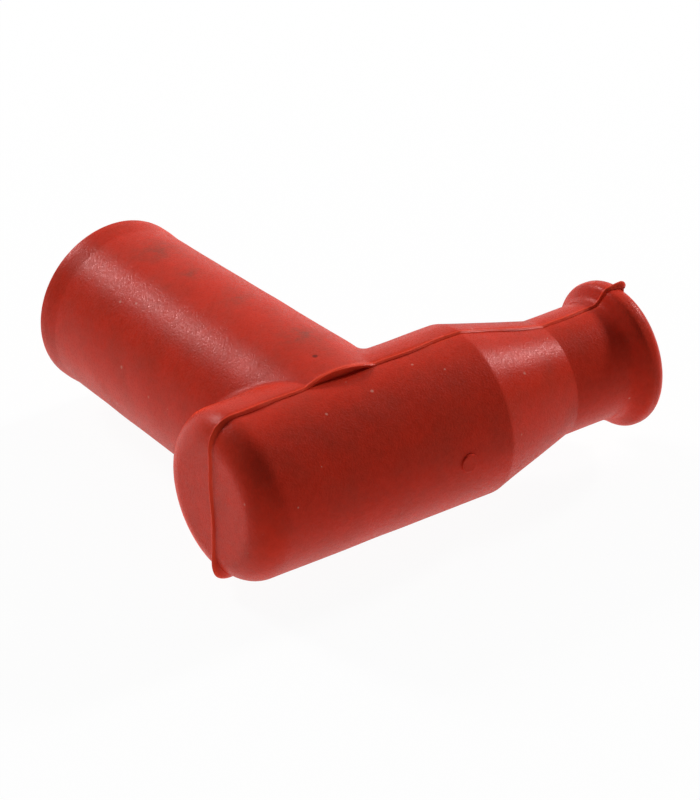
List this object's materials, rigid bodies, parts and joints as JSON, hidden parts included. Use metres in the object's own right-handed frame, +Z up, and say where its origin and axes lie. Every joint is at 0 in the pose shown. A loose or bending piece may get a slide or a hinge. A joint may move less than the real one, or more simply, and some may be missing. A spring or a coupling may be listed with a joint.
{
  "type": "spark plug cap",
  "caption": "Right-angle spark plug cap: silicone rubber T-shaped jacket over a phenolic core, with lead screw, resistor and push-fit plug terminal.",
  "frame": {"origin": "on the ground, below the centre of the bounding box", "axes": "+X along the body towards the lead entry, +Y along the barrel towards the plug mouth, +Z up; both axes lie level"},
  "size_m": [0.0608, 0.059, 0.0241],
  "materials": {
    "silicone_rubber": "satin",
    "phenolic": "moulded",
    "plated_steel": "zinc plated",
    "brass": "turned",
    "ceramic": "fired ceramic"
  },
  "bodies": {
    "root": {"silicone_cover": "silicone_rubber", "insulator_core": "phenolic", "lead_screw": "plated_steel", "resistor_body": "ceramic", "resistor_cap_lead": "brass", "resistor_cap_block": "brass", "contact_block": "brass", "contact_spring": "plated_steel", "end_plug": "phenolic", "plug_terminal": "brass", "terminal_clip": "plated_steel"}
  },
  "joints": []
}
